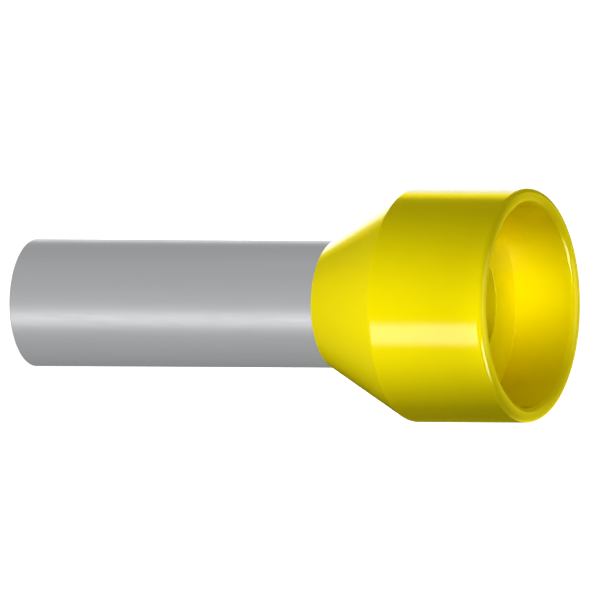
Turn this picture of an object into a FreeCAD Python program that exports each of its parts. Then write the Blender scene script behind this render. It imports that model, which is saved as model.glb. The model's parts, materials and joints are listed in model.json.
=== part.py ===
import FreeCAD, Part
import math
import os

# Insulated wire ferrule for a 6 mm2 stranded conductor.
# It stands on the cut end of its metal sleeve. The axis is Z, the mouth of the collar looks up,
# and the origin is the centre of the sleeve's cut end. All sizes are in millimetres.

# Sleeve: a tin-plated copper tube, flared at its rear inside the collar
sleeve_bore_diameter = 3.5
sleeve_wall = 0.2
sleeve_reach = 10.25          # bare tube below the collar
cut_edge_chamfer = 0.03       # broken edges of the square cut
flare_inset = 0.45            # from the collar's lower end up to the bend of the flare
flare_angle = 30.0            # degrees between the flare and the axis
flare_slant = 1.2             # length of the flared skirt along its slope

# Collar: one moulding with cone, cylinder, lip and pocket
front_wall = 0.03             # thin end of the cone on the tube
cone_length = 2.7
body_length = 3.9             # cylinder, up to the top of the lip
pocket_diameter = 6.3
pocket_wall = 0.45
pocket_depth = 2.05

# Small roundings of the moulding, and the lead-in for the strands at its bore
front_edge_radius = 0.02
shoulder_radius = 0.15
pocket_corner_radius = 0.06
bore_mouth_chamfer = 0.05

# Radii and heights that follow from the sizes above
bore_radius = sleeve_bore_diameter / 2
sleeve_radius = bore_radius + sleeve_wall
front_radius = sleeve_radius + front_wall
pocket_radius = pocket_diameter / 2
body_radius = pocket_radius + pocket_wall
lip_radius = pocket_wall / 2

body_start_z = sleeve_reach + cone_length
rim_z = body_start_z + body_length
lip_centre_z = rim_z - lip_radius
floor_z = rim_z - pocket_depth
flare_bend_z = sleeve_reach + flare_inset

axis_base = FreeCAD.Vector(0, 0, 0)
axis_direction = FreeCAD.Vector(0, 0, 1)


def point(radius, z):
    """A point of a turned profile, in the half plane y = 0."""
    return FreeCAD.Vector(radius, 0, z)


def line(start, end):
    """A straight edge of a profile."""
    return Part.LineSegment(start, end).toShape()


def arc(start, middle, end):
    """A circular edge of a profile, through three points."""
    return Part.Arc(start, middle, end).toShape()


def rounded_corner(before, corner, after, radius):
    """The tangent arc that rounds a corner: its start, its edge and its end."""
    to_before = (before - corner).normalize()
    to_after = (after - corner).normalize()
    half_angle = to_before.getAngle(to_after) / 2
    tangent = radius / math.tan(half_angle)
    start = corner + to_before * tangent
    end = corner + to_after * tangent
    bisector = (to_before + to_after).normalize()
    middle = corner + bisector * (radius / math.sin(half_angle) - radius)
    return start, arc(start, middle, end), end


def rounded_path(corners):
    """Edges along the corners, an open path. Each inner corner has a rounding radius, or 0 if sharp."""
    edges = []
    position = corners[0][0]
    for index in range(1, len(corners) - 1):
        corner, radius = corners[index]
        if radius > 0:
            start, rounding, end = rounded_corner(corners[index - 1][0], corner, corners[index + 1][0], radius)
            edges += [line(position, start), rounding]
            position = end
        else:
            edges.append(line(position, corner))
            position = corner
    edges.append(line(position, corners[-1][0]))
    return edges


def turned(edges):
    """The solid that a closed profile sweeps once round the axis."""
    profile = Part.Face(Part.Wire(edges))
    return profile.revolve(axis_base, axis_direction, 360)


def make_sleeve():
    """Straight tube with a conical flare at its rear, of one wall thickness throughout, cut square in front."""
    angle = math.radians(flare_angle)
    slope = FreeCAD.Vector(math.sin(angle), 0, math.cos(angle))
    outward = FreeCAD.Vector(math.cos(angle), 0, -math.sin(angle))
    bend_outside = point(sleeve_radius, flare_bend_z)
    bend_inside = point(bore_radius, flare_bend_z + sleeve_wall * math.tan(angle / 2))
    rim_inside = bend_inside + slope * flare_slant
    rim_outside = rim_inside + outward * sleeve_wall
    cut_face_inside = point(bore_radius + cut_edge_chamfer, 0)
    return turned(rounded_path([
        (cut_face_inside, 0),
        (point(sleeve_radius - cut_edge_chamfer, 0), 0),
        (point(sleeve_radius, cut_edge_chamfer), 0),
        (bend_outside, 0),
        (rim_outside, 0),
        (rim_inside, 0),
        (bend_inside, 0),
        (point(bore_radius, cut_edge_chamfer), 0),
        (cut_face_inside, 0),
    ]))


def make_collar(sleeve):
    """The moulding: its turned outside, lip, pocket and bore, less the sleeve that it is moulded on."""
    outside = rounded_path([
        (point(bore_radius, sleeve_reach), 0),
        (point(front_radius, sleeve_reach), front_edge_radius),
        (point(body_radius, body_start_z), shoulder_radius),
        (point(body_radius, lip_centre_z), 0),
    ])
    lip = arc(
        point(body_radius, lip_centre_z),
        point(body_radius - lip_radius, rim_z),
        point(pocket_radius, lip_centre_z),
    )
    inside = rounded_path([
        (point(pocket_radius, lip_centre_z), 0),
        (point(pocket_radius, floor_z), pocket_corner_radius),
        (point(bore_radius + bore_mouth_chamfer, floor_z), 0),
        (point(bore_radius, floor_z - bore_mouth_chamfer), 0),
        (point(bore_radius, sleeve_reach), 0),
    ])
    return turned(outside + [lip] + inside).cut(sleeve)


def save(shape, name):
    """Writes one piece and says what it measures."""
    shape.exportStep("parts/" + name + ".step")
    box = shape.optimalBoundingBox(True, False)
    print(name, "solids", len(shape.Solids), "valid", shape.isValid(), "volume mm3", round(shape.Volume, 3),
          "z", round(box.ZMin, 3), "to", round(box.ZMax, 3), "across", round(box.XLength, 3))


def main():
    os.makedirs("parts", exist_ok=True)
    sleeve = make_sleeve()
    collar = make_collar(sleeve)
    save(sleeve, "sleeve")
    save(collar, "collar")


main()
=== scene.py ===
import json
import math

import bpy
import numpy as np
from bpy.props import FloatProperty, FloatVectorProperty, IntProperty, PointerProperty
from mathutils import Matrix, Vector


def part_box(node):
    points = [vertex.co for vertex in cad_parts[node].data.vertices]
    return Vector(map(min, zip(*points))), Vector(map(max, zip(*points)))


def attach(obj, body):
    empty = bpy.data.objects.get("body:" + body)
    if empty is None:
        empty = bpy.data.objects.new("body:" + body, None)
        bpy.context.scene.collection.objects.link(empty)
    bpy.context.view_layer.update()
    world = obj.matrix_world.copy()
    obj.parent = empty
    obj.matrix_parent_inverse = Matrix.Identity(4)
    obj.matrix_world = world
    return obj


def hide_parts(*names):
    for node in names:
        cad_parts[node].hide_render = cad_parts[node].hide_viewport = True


bl_info = {
    "name": "Wire Ferrule",
    "version": (1, 0, 0),
    "blender": (4, 5, 0),
    "location": "3D View > Sidebar > Ferrule",
    "description": "Finished meshes and materials of an insulated wire ferrule, with a small photo studio",
    "category": "Object",
}

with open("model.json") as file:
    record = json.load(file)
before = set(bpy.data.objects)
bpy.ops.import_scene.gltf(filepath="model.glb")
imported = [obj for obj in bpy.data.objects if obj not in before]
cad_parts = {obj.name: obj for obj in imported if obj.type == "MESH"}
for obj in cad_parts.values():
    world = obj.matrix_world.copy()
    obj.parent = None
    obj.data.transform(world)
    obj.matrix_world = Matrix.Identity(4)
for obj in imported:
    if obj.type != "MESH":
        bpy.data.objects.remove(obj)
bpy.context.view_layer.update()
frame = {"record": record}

# Units, in metres
MM = 0.001
UM = 0.000001

# Sizes that the frame states
mounts = {mount["name"]: mount for mount in frame["record"]["mounts"]}
bore_radius = mounts["conductor_bore"]["dims"]["r_mm"] * MM
sleeve_radius = mounts["sleeve_outside"]["dims"]["r_mm"] * MM
pocket_radius = mounts["insulation_pocket"]["dims"]["r_mm"] * MM
sleeve_low, sleeve_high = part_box("sleeve")
collar_low, collar_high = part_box("collar")
body_radius = max(collar_high.x, collar_high.y)
flare_radius = max(sleeve_high.x, sleeve_high.y)

# Piece names and the body that carries them
BODY = "root"
SLEEVE_PIECE = "sleeve_tube"
COLLAR_PIECE = "collar_moulding"

# Rounding of each edge of the lip, as a share of the wall. A half would leave no run between the two.
LIP_ROUNDING = 0.49

# Range that holds nearly all values of a noise texture
NOISE_LOW = 0.3
NOISE_HIGH = 0.7

# The floor: half of its side, its own glow round the foot, and where that starts and ends its rise to white
FLOOR_HALF = 300 * MM
FLOOR_FOOT_GLOW = 0.84
FLOOR_FOOT_RADIUS = 2 * body_radius
FLOOR_WHITE_RADIUS = 7 * body_radius

# The light tents: the collar's stands inside the sleeve's, and level squares of this half side close them
COLLAR_TENT_RADIUS = 150 * MM
SLEEVE_TENT_RADIUS = 160 * MM
TENT_LOW = -250 * MM
TENT_HIGH = 350 * MM
TENT_SQUARE_HALF = 170 * MM

# Colours of the panels in the light tents
WHITE = (1.0, 1.0, 1.0)
WARM = (1.0, 0.87, 0.92)
CREAM = (1.0, 1.0, 0.85)
PALE_GOLD = (1.0, 0.98, 0.5)
GOLD = (1.0, 0.84, 0.02)

# Radiance and colour round each light tent, by degrees from straight in front towards +X.
# Two places a few degrees apart are a panel's edge.
SLEEVE_TENT = (
    (-180, 0.3, WHITE),
    (-166, 0.4, WHITE),
    (-163, 1.3, WHITE),
    (-150, 1.3, WHITE),
    (-146, 0.5, WHITE),
    (-115, 0.5, WHITE),
    (-60, 0.59, WHITE),
    (0, 0.69, WHITE),
    (15, 0.72, WHITE),
    (19, 1.35, WHITE),
    (39, 1.35, WHITE),
    (43, 0.64, WHITE),
    (60, 0.6, WHITE),
    (95, 0.52, WHITE),
    (130, 0.44, WHITE),
    (155, 0.34, WHITE),
    (179.9, 0.3, WHITE),
)
BODY_TENT = (
    (-180, 1.7, WHITE),
    (-160, 2.0, WHITE),
    (-148, 2.2, WHITE),
    (-141, 3.5, GOLD),
    (-134, 3.2, GOLD),
    (-127, 1.0, GOLD),
    (-116, 0.6, GOLD),
    (-90, 0.1, GOLD),
    (-70, 0.04, GOLD),
    (5, 0.04, GOLD),
    (16, 0.9, GOLD),
    (22.5, 6.2, WARM),
    (35.5, 6.2, WARM),
    (42, 1.7, GOLD),
    (58, 1.2, GOLD),
    (74, 0.5, GOLD),
    (92, 0.04, GOLD),
    (120, 0.04, GOLD),
    (134, 0.3, GOLD),
    (179.9, 0.3, GOLD),
)
CONE_TENT = (
    (-180, 2.5, WHITE),
    (-156, 2.7, WHITE),
    (-149, 3.0, PALE_GOLD),
    (-144, 1.7, GOLD),
    (-140, 1.4, GOLD),
    (-132, 0.06, GOLD),
    (179.9, 0.04, GOLD),
)
LIP_TENT = (
    (-180, 1.5, GOLD),
    (-168, 0.4, GOLD),
    (-150, 0.4, GOLD),
    (-110, 0.8, GOLD),
    (91, 0.8, GOLD),
    (150, 2.5, GOLD),
    (179.9, 1.5, GOLD),
)
GLINT_TENT = (
    (-180, 2.5, GOLD),
    (-150, 2.5, GOLD),
    (-110, 0.8, GOLD),
    (26, 0.8, GOLD),
    (35, 4.0, GOLD),
    (44, 18.0, CREAM),
    (72, 18.0, CREAM),
    (80, 4.0, GOLD),
    (91, 0.8, GOLD),
    (150, 2.5, GOLD),
    (179.9, 2.5, GOLD),
)
RIM_TENT = (
    (-180, 2.5, GOLD),
    (-150, 2.5, GOLD),
    (-110, 0.8, GOLD),
    (90, 0.8, GOLD),
    (150, 2.5, GOLD),
    (179.9, 2.5, GOLD),
)

# Bands of the collar's light tent from the lowest up, each with the height of its upper edge.
# The glint bands give the lip its highlights. The gap between them is what the pocket's wall and floor mirror
# together, so it has no bright panel.
COLLAR_BANDS = (
    ("cone_tent", -70 * MM, CONE_TENT),
    ("body_tent", -40 * MM, BODY_TENT),
    ("lip_tent", 59 * MM, LIP_TENT),
    ("glint_tent", 77 * MM, GLINT_TENT),
    ("gap_tent", 97 * MM, RIM_TENT),
    ("glint_tent_top", 135 * MM, GLINT_TENT),
    ("rim_tent", TENT_HIGH, RIM_TENT),
)


class FerruleSizes(bpy.types.PropertyGroup):
    """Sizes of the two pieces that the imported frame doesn't state."""

    flare_angle: FloatProperty(
        name="Flare angle",
        description="Angle between the sleeve's flared rear and the axis",
        default=math.radians(30),
        subtype="ANGLE",
    )
    cut_edge_radius: FloatProperty(
        name="Cut edge radius",
        description="Rounding that the cutting tool leaves on the sleeve's front edges",
        default=0.04 * MM,
        precision=6,
        subtype="DISTANCE",
        unit="LENGTH",
    )
    bend_radius: FloatProperty(
        name="Bend radius",
        description="Rounding of the sleeve where its flare begins, and of the flare's rim",
        default=0.02 * MM,
        precision=6,
        subtype="DISTANCE",
        unit="LENGTH",
    )
    front_wall: FloatProperty(
        name="Front wall",
        description="Wall of the collar where its cone ends on the sleeve",
        default=0.03 * MM,
        precision=6,
        subtype="DISTANCE",
        unit="LENGTH",
    )
    front_edge_radius: FloatProperty(
        name="Front edge radius",
        description="Rounding of the thin edge where the cone ends on the sleeve",
        default=0.02 * MM,
        precision=6,
        subtype="DISTANCE",
        unit="LENGTH",
    )
    body_length: FloatProperty(
        name="Body length",
        description="Length of the collar's cylinder, up to the top of the lip",
        default=3.9 * MM,
        precision=6,
        subtype="DISTANCE",
        unit="LENGTH",
    )
    shoulder_radius: FloatProperty(
        name="Shoulder radius",
        description="Rounding where the cone meets the cylinder",
        default=0.15 * MM,
        precision=6,
        subtype="DISTANCE",
        unit="LENGTH",
    )
    pocket_depth: FloatProperty(
        name="Pocket depth",
        description="Depth of the pocket for the wire's insulation",
        default=2.05 * MM,
        precision=6,
        subtype="DISTANCE",
        unit="LENGTH",
    )
    pocket_corner_radius: FloatProperty(
        name="Pocket corner radius",
        description="Hollow between the pocket's wall and its floor",
        default=0.02 * MM,
        precision=6,
        subtype="DISTANCE",
        unit="LENGTH",
    )
    bore_mouth_radius: FloatProperty(
        name="Bore mouth radius",
        description="Rounded lead-in of the bore in the pocket's floor",
        default=0.02 * MM,
        precision=6,
        subtype="DISTANCE",
        unit="LENGTH",
    )
    seam_radius: FloatProperty(
        name="Seam radius",
        description="Rounding of the plastic's edges where it meets the metal",
        default=0.008 * MM,
        precision=6,
        subtype="DISTANCE",
        unit="LENGTH",
    )
    columns: IntProperty(
        name="Columns",
        description="Steps of the surfaces round the axis",
        default=360,
        min=24,
        max=720,
    )
    corner_steps: IntProperty(
        name="Corner steps",
        description="Steps of each rounded corner",
        default=10,
        min=2,
        max=24,
    )


class FerruleFinishes(bpy.types.PropertyGroup):
    """Colours and surface values of the two materials."""

    tin_colour: FloatVectorProperty(
        name="Tin",
        description="Reflected colour of the tin plating",
        default=(0.60, 0.61, 0.62),
        min=0.0,
        max=1.0,
        subtype="COLOR",
    )
    tin_roughness: FloatProperty(
        name="Tin roughness",
        description="Middle roughness of the tin plating",
        default=0.34,
        min=0.0,
        max=1.0,
        subtype="FACTOR",
    )
    plastic_colour: FloatVectorProperty(
        name="Plastic",
        description="Colour of the moulded collar",
        default=(0.88, 0.735, 0.0),
        min=0.0,
        max=1.0,
        subtype="COLOR",
    )
    plastic_roughness: FloatProperty(
        name="Plastic roughness",
        description="Middle roughness of the moulded collar",
        default=0.13,
        min=0.0,
        max=1.0,
        subtype="FACTOR",
    )


class FerruleStudio(bpy.types.PropertyGroup):
    """Camera and light of the small studio."""

    view_elevation: FloatProperty(
        name="View elevation",
        description="Height of the camera above the horizon, seen from the ferrule",
        default=math.radians(25.2),
        subtype="ANGLE",
    )
    view_roll: FloatProperty(
        name="View roll",
        description="Turn of the camera about its line of sight, past lying on its side",
        default=math.radians(0.34),
        subtype="ANGLE",
    )
    view_width: FloatProperty(
        name="View width",
        description="Width of what the camera takes in",
        default=18.427 * MM,
        precision=6,
        subtype="DISTANCE",
        unit="LENGTH",
    )
    view_target: FloatVectorProperty(
        name="View target",
        description="Point of the ferrule at the middle of the picture",
        default=(-0.128 * MM, 0.0, 8.958 * MM),
        precision=6,
        subtype="TRANSLATION",
        unit="LENGTH",
    )
    front_radiance: FloatProperty(
        name="Front strip",
        description="Radiance of the narrow upright strip close in front of the ferrule",
        default=4.9,
        min=0.0,
    )
    side_radiance: FloatProperty(
        name="Side strip",
        description="Radiance of the upright strip at the ferrule's -X side",
        default=2.8,
        min=0.0,
    )
    back_radiance: FloatProperty(
        name="Back strips",
        description="Radiance of the two strips behind the ferrule",
        default=8.0,
        min=0.0,
    )
    mouth_level: FloatProperty(
        name="Mouth spot",
        description="Brightness that the spot lamp gives a white surface inside the collar's mouth",
        default=1.02,
        min=0.0,
    )
    top_radiance: FloatProperty(
        name="Top lamp",
        description="Radiance of the small soft lamp straight above",
        default=4.7,
        min=0.0,
    )
    ambient: FloatProperty(
        name="Ambient",
        description="Light that reaches matt surfaces from all round",
        default=0.11,
        min=0.0,
    )


def rounded_outline(corners, radii, steps):
    """Closed outline of straight runs joined by tangent arcs, as an array of (radius, height) points.

    With unit vectors u and v from a corner P to its neighbours and the angle 2h between them, the arc of
    radius q touches the runs at P + u t and P + v t, where t = q / tan h. Its centre is
    P + (u + v) q / (2 sin h cos h). From a to b, its two end radii, it is
    (a sin((1 - s) w) + b sin(s w)) / sin w, for s from 0 to 1 and w = pi - 2h.
    One more point on each run, close to the arc, keeps the run's shading flat.
    """
    corners = np.asarray(corners, dtype=float)
    radii = np.asarray(radii, dtype=float)[:, None]
    to_before = np.roll(corners, 1, axis=0) - corners
    to_after = np.roll(corners, -1, axis=0) - corners
    run_before = np.linalg.norm(to_before, axis=1, keepdims=True)
    run_after = np.linalg.norm(to_after, axis=1, keepdims=True)
    to_before = to_before / run_before
    to_after = to_after / run_after
    half = np.arccos(np.sum(to_before * to_after, axis=1, keepdims=True)) / 2
    tangent = radii / np.tan(half)
    start = corners + to_before * tangent
    end = corners + to_after * tangent
    centre = corners + (to_before + to_after) * radii / (2 * np.sin(half) * np.cos(half))
    sweep = (np.pi - 2 * half)[:, :, None]
    share = np.linspace(0, 1, steps + 1)[None, :, None]
    from_start = (start - centre)[:, None, :] * np.sin((1 - share) * sweep)
    to_end = (end - centre)[:, None, :] * np.sin(share * sweep)
    arcs = centre[:, None, :] + (from_start + to_end) / np.sin(sweep)
    free_before = run_before - tangent - np.roll(tangent, 1, axis=0)
    free_after = run_after - tangent - np.roll(tangent, -1, axis=0)
    support = 0.02 * MM
    before = start + to_before * np.minimum(support, free_before / 3)
    after = end + to_after * np.minimum(support, free_after / 3)
    blocks = np.concatenate([before[:, None, :], arcs, after[:, None, :]], axis=1)
    return blocks.reshape(-1, 2)


def turned_piece(name, outline, columns):
    """Closed ring swept by an outline once round Z.

    Each (radius, height) becomes (r cos a, r sin a, z) over equal steps of the angle a. An outline that
    climbs on its outer side gives faces that point out of the material.
    """
    rows = len(outline)
    angle = np.linspace(0, 2 * np.pi, columns, endpoint=False)[None, :]
    radius = outline[:, 0][:, None]
    height = np.repeat(outline[:, 1][:, None], columns, axis=1)
    points = np.stack([radius * np.cos(angle), radius * np.sin(angle), height], axis=-1).reshape(-1, 3)
    row = np.arange(rows)[:, None] * columns
    next_row = (np.arange(rows)[:, None] + 1) % rows * columns
    column = np.arange(columns)[None, :]
    next_column = (column + 1) % columns
    faces = np.stack([row + column, row + next_column, next_row + next_column, next_row + column], axis=-1)
    mesh = bpy.data.meshes.new(name)
    mesh.from_pydata(points.tolist(), [], faces.reshape(-1, 4).tolist())
    mesh.shade_smooth()
    piece = bpy.data.objects.new(name, mesh)
    bpy.context.scene.collection.objects.link(piece)
    return piece


def flare_corners(sizes):
    """Corners of the flared wall as (radius, height), from its outer bend over the rim to its inner bend.

    The rim's inner corner is the sleeve's highest point and its outer corner the widest. Both walls fall from
    there at the flare's angle to the straight tube.
    """
    slope = math.tan(sizes.flare_angle)
    wall = sleeve_radius - bore_radius
    rim_inside = (flare_radius - wall * math.cos(sizes.flare_angle), sleeve_high.z)
    rim_outside = (flare_radius, sleeve_high.z - wall * math.sin(sizes.flare_angle))
    bend_outside = (sleeve_radius, rim_outside[1] - (rim_outside[0] - sleeve_radius) / slope)
    bend_inside = (bore_radius, rim_inside[1] - (rim_inside[0] - bore_radius) / slope)
    return bend_outside, rim_outside, rim_inside, bend_inside


def sleeve_outline(sizes):
    """Outline of the sleeve's wall: straight tube, flared at its rear."""
    bend_outside, rim_outside, rim_inside, bend_inside = flare_corners(sizes)
    corners = [
        (bore_radius, sleeve_low.z),
        (sleeve_radius, sleeve_low.z),
        bend_outside,
        rim_outside,
        rim_inside,
        bend_inside,
    ]
    edge = sizes.cut_edge_radius
    bend = sizes.bend_radius
    return rounded_outline(corners, [edge, edge, bend, bend, bend, bend], sizes.corner_steps)


def collar_outline(sizes):
    """Outline of the collar's wall: cone, cylinder, round lip, pocket and bore, closed round the flare."""
    bend_outside, rim_outside, rim_inside, bend_inside = flare_corners(sizes)
    body_start_z = collar_high.z - sizes.body_length
    floor_z = collar_high.z - sizes.pocket_depth
    lip_radius = LIP_ROUNDING * (body_radius - pocket_radius)
    corners = [
        (sleeve_radius, collar_low.z),
        (sleeve_radius + sizes.front_wall, collar_low.z),
        (body_radius, body_start_z),
        (body_radius, collar_high.z),
        (pocket_radius, collar_high.z),
        (pocket_radius, floor_z),
        (bore_radius, floor_z),
        bend_inside,
        rim_inside,
        rim_outside,
        bend_outside,
    ]
    seam = sizes.seam_radius
    radii = [
        seam,
        sizes.front_edge_radius,
        sizes.shoulder_radius,
        lip_radius,
        lip_radius,
        sizes.pocket_corner_radius,
        sizes.bore_mouth_radius,
        seam,
        seam,
        seam,
        seam,
    ]
    return rounded_outline(corners, radii, sizes.corner_steps)


def add_node(tree, kind, x, y, **settings):
    """A new node at a place in the editor, with its settings."""
    node = tree.nodes.new(kind)
    node.location = (x, y)
    for name, value in settings.items():
        setattr(node, name, value)
    return node


def drawn_place(tree, draw):
    """Object coordinates with Z divided by a factor, so that a pattern is drawn out along the axis."""
    place = add_node(tree, "ShaderNodeTexCoord", -900, 260)
    shorten = add_node(tree, "ShaderNodeMath", -700, -120, operation="DIVIDE")
    shorten.inputs[0].default_value = 1.0
    factors = add_node(tree, "ShaderNodeCombineXYZ", -520, -60)
    factors.inputs["X"].default_value = 1.0
    factors.inputs["Y"].default_value = 1.0
    drawn = add_node(tree, "ShaderNodeVectorMath", -340, 200, operation="MULTIPLY")
    tree.links.new(draw, shorten.inputs[1])
    tree.links.new(shorten.outputs[0], factors.inputs["Z"])
    tree.links.new(place.outputs["Object"], drawn.inputs[0])
    tree.links.new(factors.outputs[0], drawn.inputs[1])
    return drawn.outputs[0]


def surface_grain():
    """Node group of both finishes: a broad and a fine noise, each from 0 to 1, in sizes given in metres."""
    name = "surface_grain"
    if name in bpy.data.node_groups:
        return bpy.data.node_groups[name]
    tree = bpy.data.node_groups.new(name, "ShaderNodeTree")
    for label in ("Broad Size", "Fine Size", "Draw"):
        tree.interface.new_socket(label, in_out="INPUT", socket_type="NodeSocketFloat")
    for label in ("Broad", "Fine"):
        tree.interface.new_socket(label, in_out="OUTPUT", socket_type="NodeSocketFloat")
    given = add_node(tree, "NodeGroupInput", -900, 0)
    place = drawn_place(tree, given.outputs["Draw"])
    result = add_node(tree, "NodeGroupOutput", 320, 0)
    for row, label in enumerate(("Broad", "Fine")):
        count = add_node(tree, "ShaderNodeMath", -340, -160 * row - 60, operation="DIVIDE")
        count.inputs[0].default_value = 1.0
        noise = add_node(tree, "ShaderNodeTexNoise", -100, 200 - 280 * row, noise_dimensions="3D")
        noise.inputs["Detail"].default_value = 3.0
        tree.links.new(given.outputs[label + " Size"], count.inputs[1])
        tree.links.new(place, noise.inputs["Vector"])
        tree.links.new(count.outputs[0], noise.inputs["Scale"])
        tree.links.new(noise.outputs["Fac"], result.inputs[label])
    return tree


def add_grain(tree, broad_size, fine_size, draw):
    """The shared grain in a material, with its two sizes in metres and how far it is drawn out along Z."""
    grain = add_node(tree, "ShaderNodeGroup", -760, 0)
    grain.node_tree = surface_grain()
    grain.inputs["Broad Size"].default_value = broad_size
    grain.inputs["Fine Size"].default_value = fine_size
    grain.inputs["Draw"].default_value = draw
    return grain


def vary_colour(tree, value, shader, colour, dark, light):
    """Base colour that runs from dark to light times the given colour as a noise value rises."""
    mix = add_node(tree, "ShaderNodeMix", -380, 240, data_type="RGBA")
    mix.inputs["A"].default_value = (*(dark * part for part in colour), 1.0)
    mix.inputs["B"].default_value = (*(light * part for part in colour), 1.0)
    tree.links.new(value, mix.inputs["Factor"])
    tree.links.new(mix.outputs["Result"], shader.inputs["Base Color"])


def vary_roughness(tree, value, shader, middle, swing):
    """Roughness that swings about its middle with a noise value."""
    spread = add_node(tree, "ShaderNodeMapRange", -380, 0)
    spread.inputs["From Min"].default_value = NOISE_LOW
    spread.inputs["From Max"].default_value = NOISE_HIGH
    spread.inputs["To Min"].default_value = middle - swing
    spread.inputs["To Max"].default_value = middle + swing
    tree.links.new(value, spread.inputs["Value"])
    tree.links.new(spread.outputs["Result"], shader.inputs["Roughness"])


def add_relief(tree, value, shader, depth):
    """Bump of the given depth in metres from a noise value."""
    bump = add_node(tree, "ShaderNodeBump", -380, -280)
    bump.inputs["Strength"].default_value = 1.0
    bump.inputs["Distance"].default_value = depth
    tree.links.new(value, bump.inputs["Height"])
    tree.links.new(bump.outputs["Normal"], shader.inputs["Normal"])


def empty_material(name):
    """A material and its node tree, with no nodes in it."""
    material = bpy.data.materials.new(name)
    material.use_nodes = True
    material.node_tree.nodes.clear()
    return material, material.node_tree


def new_finish(name):
    """A material of the ferrule, its node tree and its Principled shader, which leads to the output."""
    material, tree = empty_material(name)
    shader = add_node(tree, "ShaderNodeBsdfPrincipled", 0, 0)
    output = add_node(tree, "ShaderNodeOutputMaterial", 320, 0)
    tree.links.new(shader.outputs["BSDF"], output.inputs["Surface"])
    return material, tree, shader


def tin_plating(finishes):
    """Tin plating on drawn copper: satin metal with faint lines along the tube and a slight clouding."""
    material, tree, shader = new_finish("tin_plating")
    shader.inputs["Metallic"].default_value = 1.0
    grain = add_grain(tree, broad_size=0.9 * MM, fine_size=0.06 * MM, draw=14.0)
    vary_colour(tree, grain.outputs["Broad"], shader, finishes.tin_colour, dark=0.93, light=1.05)
    vary_roughness(tree, grain.outputs["Fine"], shader, finishes.tin_roughness, swing=0.05)
    add_relief(tree, grain.outputs["Fine"], shader, depth=1.2 * UM)
    return material


def moulded_plastic(finishes):
    """Glossy yellow moulding with the faint unevenness of a polished mould."""
    material, tree, shader = new_finish("moulded_plastic")
    shader.inputs["IOR"].default_value = 1.45
    grain = add_grain(tree, broad_size=2.5 * MM, fine_size=0.09 * MM, draw=1.0)
    vary_colour(tree, grain.outputs["Broad"], shader, finishes.plastic_colour, dark=0.98, light=1.02)
    vary_roughness(tree, grain.outputs["Fine"], shader, finishes.plastic_roughness, swing=0.02)
    add_relief(tree, grain.outputs["Fine"], shader, depth=0.5 * UM)
    return material


def finish_piece(piece, node, material):
    """Gives a piece its material, and has it ride on the body in place of its CAD node."""
    piece.data.materials.append(material)
    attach(piece, BODY)
    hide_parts(node)


class FERRULE_OT_build_sleeve(bpy.types.Operator):
    """Build the tinned copper sleeve with its hidden flare"""

    bl_idname = "ferrule.build_sleeve"
    bl_label = "Build Sleeve"

    def execute(self, context):
        sizes = context.scene.ferrule_sizes
        piece = turned_piece(SLEEVE_PIECE, sleeve_outline(sizes), sizes.columns)
        finish_piece(piece, "sleeve", tin_plating(context.scene.ferrule_finishes))
        return {"FINISHED"}


class FERRULE_OT_build_collar(bpy.types.Operator):
    """Build the yellow insulating collar"""

    bl_idname = "ferrule.build_collar"
    bl_label = "Build Collar"

    def execute(self, context):
        sizes = context.scene.ferrule_sizes
        piece = turned_piece(COLLAR_PIECE, collar_outline(sizes), sizes.columns)
        finish_piece(piece, "collar", moulded_plastic(context.scene.ferrule_finishes))
        return {"FINISHED"}


def add_camera(studio):
    """Parallel camera in front of the ferrule and above it, lying on its side so that +Z looks right."""
    distance = 300 * MM
    nearest = 10 * MM
    farthest = 2000 * MM
    elevation = studio.view_elevation
    backward = Vector((0, -math.cos(elevation), math.sin(elevation)))
    right = Vector((0, math.sin(elevation), math.cos(elevation)))
    up = backward.cross(right)
    lying = Matrix((right, up, backward)).transposed()
    data = bpy.data.cameras.new("camera")
    data.type = "ORTHO"
    data.ortho_scale = studio.view_width
    data.clip_start = nearest
    data.clip_end = farthest
    camera = bpy.data.objects.new("camera", data)
    bpy.context.scene.collection.objects.link(camera)
    place = Matrix.Translation(Vector(studio.view_target) + backward * distance)
    camera.matrix_world = place @ lying.to_4x4() @ Matrix.Rotation(studio.view_roll, 4, "Z")
    bpy.context.scene.camera = camera


def place_lamp(name, data, place, target):
    """Puts a lamp in the scene, aimed at a point. It lights matt surfaces and isn't seen or mirrored.

    With multiple importance sampling, gloss would still show a faint image of it, so that is off.
    """
    lamp = bpy.data.objects.new(name, data)
    bpy.context.scene.collection.objects.link(lamp)
    lamp.location = place
    lamp.rotation_mode = "QUATERNION"
    lamp.rotation_quaternion = (Vector(target) - Vector(place)).to_track_quat("-Z", "Y")
    lamp.visible_camera = False
    lamp.visible_glossy = False
    data.cycles.use_multiple_importance_sampling = False


def round_axis(distance, azimuth, height):
    """Point at a distance from the axis, by degrees from straight in front towards +X."""
    turn = math.radians(azimuth)
    return Vector((distance * math.sin(turn), -distance * math.cos(turn), height))


def add_strip(name, radiance, distance, azimuth, width, length):
    """Upright rectangular lamp that faces the axis. Its power is pi times its area times its radiance."""
    data = bpy.data.lights.new(name, "AREA")
    data.shape = "RECTANGLE"
    data.size = width
    data.size_y = length
    data.energy = math.pi * width * length * radiance
    place_lamp(name, data, round_axis(distance, azimuth, length / 2), (0, 0, length / 2))


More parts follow.
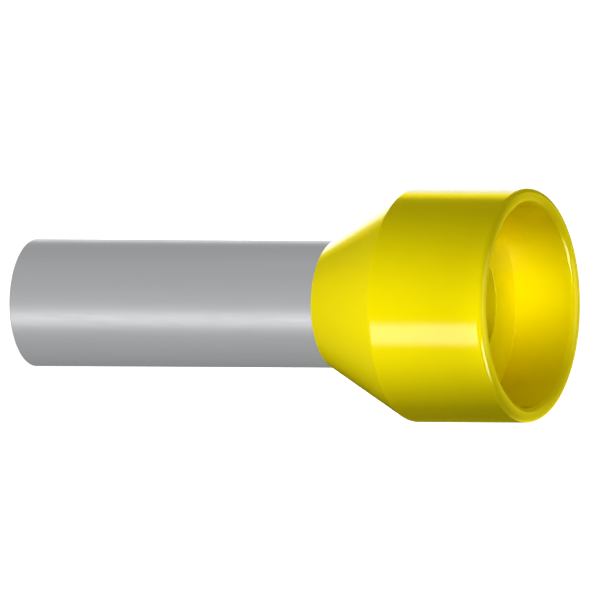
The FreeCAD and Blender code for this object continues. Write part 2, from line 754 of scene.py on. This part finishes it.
def add_mouth_spot(level):
    """Narrow soft-edged spot that looks over the near lip at the far wall of the pocket.

    At distance d, a power of 4 pi pi d d makes a white surface that faces it as bright as one of strength 1.
    """
    distance = 40 * MM
    azimuth = 8.5
    elevation = math.radians(27)
    beam_angle = math.radians(6.8)
    bulb_radius = 1.5 * MM
    target_radius = 0.8 * pocket_radius
    target_depth = 1 * MM
    target = round_axis(-target_radius, azimuth, collar_high.z - target_depth)
    place = target + round_axis(distance * math.cos(elevation), azimuth, distance * math.sin(elevation))
    data = bpy.data.lights.new("mouth_spot", "SPOT")
    data.spot_size = beam_angle
    data.spot_blend = 1.0
    data.shadow_soft_size = bulb_radius
    data.energy = 4 * math.pi * math.pi * distance * distance * level
    place_lamp("mouth_spot", data, place, target)


def add_top_lamp(radiance):
    """Square lamp straight above, for the lip and the pocket's floor."""
    side = 16 * MM
    height = 60 * MM
    data = bpy.data.lights.new("top_lamp", "AREA")
    data.size = side
    data.energy = math.pi * side * side * radiance
    place_lamp("top_lamp", data, (0, 0, height), (0, 0, 0))


def add_lamps(studio):
    """A narrow strip close in front, one at the side, two behind, one above, and a spot for the mouth."""
    add_strip(
        "front_strip",
        studio.front_radiance,
        distance=10 * MM,
        azimuth=9,
        width=3 * MM,
        length=19 * MM,
    )
    add_strip(
        "side_strip",
        studio.side_radiance,
        distance=26 * MM,
        azimuth=-75,
        width=6 * MM,
        length=21 * MM,
    )
    for azimuth in (-150, 150):
        add_strip(
            "back_strip",
            studio.back_radiance,
            distance=30 * MM,
            azimuth=azimuth,
            width=8 * MM,
            length=21 * MM,
        )
    add_top_lamp(studio.top_radiance)
    add_mouth_spot(studio.mouth_level)


def seen_rays(tree):
    """Output that is 1 for camera, glossy and transmission rays, and 0 for the rest."""
    path = add_node(tree, "ShaderNodeLightPath", -700, 300)
    mirrored = add_node(tree, "ShaderNodeMath", -500, 300, operation="MAXIMUM")
    seen = add_node(tree, "ShaderNodeMath", -320, 300, operation="MAXIMUM")
    tree.links.new(path.outputs["Is Glossy Ray"], mirrored.inputs[0])
    tree.links.new(path.outputs["Is Transmission Ray"], mirrored.inputs[1])
    tree.links.new(path.outputs["Is Camera Ray"], seen.inputs[0])
    tree.links.new(mirrored.outputs[0], seen.inputs[1])
    return seen.outputs[0]


def add_background(tree, y, strength):
    """White background node of the given strength."""
    background = add_node(tree, "ShaderNodeBackground", -120, y)
    background.inputs["Color"].default_value = (*WHITE, 1.0)
    background.inputs["Strength"].default_value = strength
    return background


def make_world(studio):
    """White background for what is seen, mirrored or seen through, and a dim even light for matt surfaces."""
    world = bpy.data.worlds.new("studio_world")
    world.use_nodes = True
    tree = world.node_tree
    tree.nodes.clear()
    dim = add_background(tree, 120, studio.ambient)
    white = add_background(tree, -40, 1.0)
    mix = add_node(tree, "ShaderNodeMixShader", 100, 60)
    output = add_node(tree, "ShaderNodeOutputWorld", 300, 60)
    tree.links.new(seen_rays(tree), mix.inputs[0])
    tree.links.new(dim.outputs[0], mix.inputs[1])
    tree.links.new(white.outputs[0], mix.inputs[2])
    tree.links.new(mix.outputs[0], output.inputs["Surface"])
    bpy.context.scene.world = world


def stage_object(name, points, faces, material):
    """A part of the studio, which doesn't belong to the ferrule."""
    mesh = bpy.data.meshes.new(name)
    mesh.from_pydata(points, [], faces)
    mesh.materials.append(material)
    thing = bpy.data.objects.new(name, mesh)
    bpy.context.scene.collection.objects.link(thing)
    return thing


def stage_square(name, half, height, material):
    """A level square of the studio, centred on the axis and facing up."""
    points = [(-half, -half, height), (half, -half, height), (half, half, height), (-half, half, height)]
    return stage_object(name, points, [(0, 1, 2, 3)], material)


def floor_glow(tree):
    """Glow for seen rays only, near white round the foot and fully white further out."""
    place = add_node(tree, "ShaderNodeTexCoord", -700, 0)
    distance = add_node(tree, "ShaderNodeVectorMath", -500, 0, operation="LENGTH")
    whiten = add_node(tree, "ShaderNodeMapRange", -320, 0, interpolation_type="SMOOTHSTEP")
    whiten.inputs["From Min"].default_value = FLOOR_FOOT_RADIUS
    whiten.inputs["From Max"].default_value = FLOOR_WHITE_RADIUS
    whiten.inputs["To Min"].default_value = FLOOR_FOOT_GLOW
    whiten.inputs["To Max"].default_value = 1.0
    glow = add_node(tree, "ShaderNodeEmission", -120, 0)
    none = add_node(tree, "ShaderNodeEmission", -120, -260)
    none.inputs["Strength"].default_value = 0.0
    own = add_node(tree, "ShaderNodeMixShader", 100, 0)
    tree.links.new(place.outputs["Object"], distance.inputs[0])
    tree.links.new(distance.outputs["Value"], whiten.inputs["Value"])
    tree.links.new(whiten.outputs["Result"], glow.inputs["Strength"])
    tree.links.new(seen_rays(tree), own.inputs[0])
    tree.links.new(none.outputs[0], own.inputs[1])
    tree.links.new(glow.outputs[0], own.inputs[2])
    return own


def floor_material():
    """Pale matt floor whose glow makes it white, less the shadow round the foot. It is clear from below."""
    material, tree = empty_material("pale_floor")
    matt = add_node(tree, "ShaderNodeBsdfDiffuse", -120, 160)
    matt.inputs["Color"].default_value = (0.8, 0.8, 0.8, 1.0)
    below = add_node(tree, "ShaderNodeNewGeometry", -120, -140)
    clear = add_node(tree, "ShaderNodeBsdfTransparent", 100, -140)
    both = add_node(tree, "ShaderNodeAddShader", 280, 100)
    sided = add_node(tree, "ShaderNodeMixShader", 460, 40)
    output = add_node(tree, "ShaderNodeOutputMaterial", 640, 40)
    tree.links.new(matt.outputs[0], both.inputs[0])
    tree.links.new(floor_glow(tree).outputs[0], both.inputs[1])
    tree.links.new(below.outputs["Backfacing"], sided.inputs[0])
    tree.links.new(both.outputs[0], sided.inputs[1])
    tree.links.new(clear.outputs[0], sided.inputs[2])
    tree.links.new(sided.outputs[0], output.inputs["Surface"])
    return material


def add_floor():
    """Square floor under the ferrule. Mirror rays pass it, so the metal shows its light tent all round."""
    floor = stage_square("floor", FLOOR_HALF, 0, floor_material())
    floor.visible_glossy = False


def glowing_material(name):
    """A material and its empty node tree, whose glow is only met by rays and never sampled as a lamp."""
    material, tree = empty_material(name)
    material.cycles.emission_sampling = "NONE"
    return material, tree


def join_glow(tree, glow, see_through):
    """Leads a glow to the material's output. A see-through one lets rays on to what is behind it."""
    output = add_node(tree, "ShaderNodeOutputMaterial", 400, 0)
    if see_through:
        clear = add_node(tree, "ShaderNodeBsdfTransparent", 0, -140)
        both = add_node(tree, "ShaderNodeAddShader", 200, 0)
        tree.links.new(glow.outputs[0], both.inputs[0])
        tree.links.new(clear.outputs[0], both.inputs[1])
        tree.links.new(both.outputs[0], output.inputs["Surface"])
    else:
        tree.links.new(glow.outputs[0], output.inputs["Surface"])


def tent_material(name, panels, see_through):
    """Glow by azimuth: a radial gradient over Object coordinates, coloured from a table of panels.

    The gradient is turned so that its middle lies straight in front.
    """
    material, tree = glowing_material(name)
    brightest = max(radiance for _, radiance, _ in panels)
    place = add_node(tree, "ShaderNodeTexCoord", -900, 0)
    turn = add_node(tree, "ShaderNodeMapping", -700, 0)
    turn.inputs["Rotation"].default_value = (0, 0, math.radians(90))
    gradient = add_node(tree, "ShaderNodeTexGradient", -500, 0, gradient_type="RADIAL")
    ramp = add_node(tree, "ShaderNodeValToRGB", -300, 0)
    glow = add_node(tree, "ShaderNodeEmission", 0, 0)
    glow.inputs["Strength"].default_value = brightest
    stops = ramp.color_ramp.elements
    while len(stops) < len(panels):
        stops.new(1.0)
    for stop, (azimuth, radiance, colour) in zip(stops, panels):
        stop.position = azimuth / 360 + 0.5
        stop.color = (*(radiance / brightest * part for part in colour), 1.0)
    tree.links.new(place.outputs["Object"], turn.inputs["Vector"])
    tree.links.new(turn.outputs["Vector"], gradient.inputs["Vector"])
    tree.links.new(gradient.outputs["Fac"], ramp.inputs["Fac"])
    tree.links.new(ramp.outputs["Color"], glow.inputs["Color"])
    join_glow(tree, glow, see_through)
    return material


def for_mirrors_only(thing):
    """Hides a part of the studio from all rays but those that a gloss or a metal sends out."""
    thing.visible_camera = False
    thing.visible_diffuse = False
    thing.visible_transmission = False
    thing.visible_shadow = False


def for_one_piece(thing, piece):
    """Lets a part of the studio light one piece only."""
    receivers = bpy.data.collections.new(thing.name + "_receivers")
    receivers.objects.link(bpy.data.objects[piece])
    thing.light_linking.receiver_collection = receivers


def add_light_tent(name, piece, radius, low, high, panels, see_through):
    """Open cylinder round the studio whose glow falls on one piece only.

    Its points are (r cos a, r sin a) over equal steps of the angle a, at a low and a high place, and its
    faces look inwards.
    """
    columns = 96
    angle = np.linspace(0, 2 * np.pi, columns, endpoint=False)
    circle = np.stack([radius * np.cos(angle), radius * np.sin(angle)], axis=-1)
    points = np.concatenate([np.c_[circle, np.full(columns, low)], np.c_[circle, np.full(columns, high)]])
    column = np.arange(columns)
    next_column = (column + 1) % columns
    faces = np.stack([next_column, column, columns + column, columns + next_column], axis=-1)
    tent = stage_object(name, points.tolist(), faces.tolist(), tent_material(name, panels, see_through))
    for_mirrors_only(tent)
    for_one_piece(tent, piece)


def add_square_glow(name, piece, height, colour, radiance, see_through):
    """Level glowing square that closes a tent above or below, for one piece only."""
    material, tree = glowing_material(name)
    glow = add_node(tree, "ShaderNodeEmission", 0, 0)
    glow.inputs["Color"].default_value = (*colour, 1.0)
    glow.inputs["Strength"].default_value = radiance
    join_glow(tree, glow, see_through)
    square = stage_square(name, TENT_SQUARE_HALF, height, material)
    for_mirrors_only(square)
    for_one_piece(square, piece)


def add_collar_tent():
    """Bands one above the other, with a square above and one below.

    In the camera's view the cone mirrors the lowest band, the cylinder the next, and the lip those above.
    """
    base_height = TENT_LOW + 20 * MM
    bottom = TENT_LOW
    for name, top, panels in COLLAR_BANDS:
        add_light_tent(name, COLLAR_PIECE, COLLAR_TENT_RADIUS, bottom, top, panels, see_through=True)
        bottom = top
    add_square_glow("tent_top", COLLAR_PIECE, TENT_HIGH, GOLD, radiance=2.5, see_through=True)
    add_square_glow("tent_base", COLLAR_PIECE, base_height, WHITE, radiance=0.03, see_through=True)


def add_sleeve_tent():
    """One tent outside the collar's, with a square below."""
    base_height = TENT_LOW + 10 * MM
    radius = SLEEVE_TENT_RADIUS
    add_light_tent("sleeve_tent", SLEEVE_PIECE, radius, TENT_LOW, TENT_HIGH, SLEEVE_TENT, see_through=False)
    add_square_glow("sleeve_base", SLEEVE_PIECE, base_height, WHITE, radiance=0.4, see_through=False)


class FERRULE_OT_build_studio(bpy.types.Operator):
    """Build the camera, the lamps, the floor and the light tents"""

    bl_idname = "ferrule.build_studio"
    bl_label = "Build Studio"

    def execute(self, context):
        studio = context.scene.ferrule_studio
        add_camera(studio)
        add_lamps(studio)
        make_world(studio)
        add_floor()
        add_collar_tent()
        add_sleeve_tent()
        context.scene.view_settings.view_transform = "Standard"
        return {"FINISHED"}


class FERRULE_PT_panel(bpy.types.Panel):
    """Panel in the 3D view's sidebar with the ferrule's operators and values."""

    bl_idname = "FERRULE_PT_panel"
    bl_label = "Wire Ferrule"
    bl_space_type = "VIEW_3D"
    bl_region_type = "UI"
    bl_category = "Ferrule"

    def draw(self, context):
        layout = self.layout
        groups = (
            ("ferrule.build_sleeve", None),
            ("ferrule.build_collar", context.scene.ferrule_sizes),
            (None, context.scene.ferrule_finishes),
            ("ferrule.build_studio", context.scene.ferrule_studio),
        )
        for operator, group in groups:
            if operator:
                layout.operator(operator)
            if group:
                box = layout.box()
                for name in group.__annotations__:
                    box.prop(group, name)


CLASSES = (
    FerruleSizes,
    FerruleFinishes,
    FerruleStudio,
    FERRULE_OT_build_sleeve,
    FERRULE_OT_build_collar,
    FERRULE_OT_build_studio,
    FERRULE_PT_panel,
)


def register():
    """Registers the classes and gives the scene its groups of values."""
    for cls in CLASSES:
        bpy.utils.register_class(cls)
    bpy.types.Scene.ferrule_sizes = PointerProperty(type=FerruleSizes)
    bpy.types.Scene.ferrule_finishes = PointerProperty(type=FerruleFinishes)
    bpy.types.Scene.ferrule_studio = PointerProperty(type=FerruleStudio)


def unregister():
    """Takes away what register added, in the opposite order."""
    del bpy.types.Scene.ferrule_studio
    del bpy.types.Scene.ferrule_finishes
    del bpy.types.Scene.ferrule_sizes
    for cls in reversed(CLASSES):
        bpy.utils.unregister_class(cls)


def main():
    """Builds the pieces and the studio."""
    register()
    bpy.ops.ferrule.build_sleeve()
    bpy.ops.ferrule.build_collar()
    bpy.ops.ferrule.build_studio()


if __name__ == "__main__":
    main()
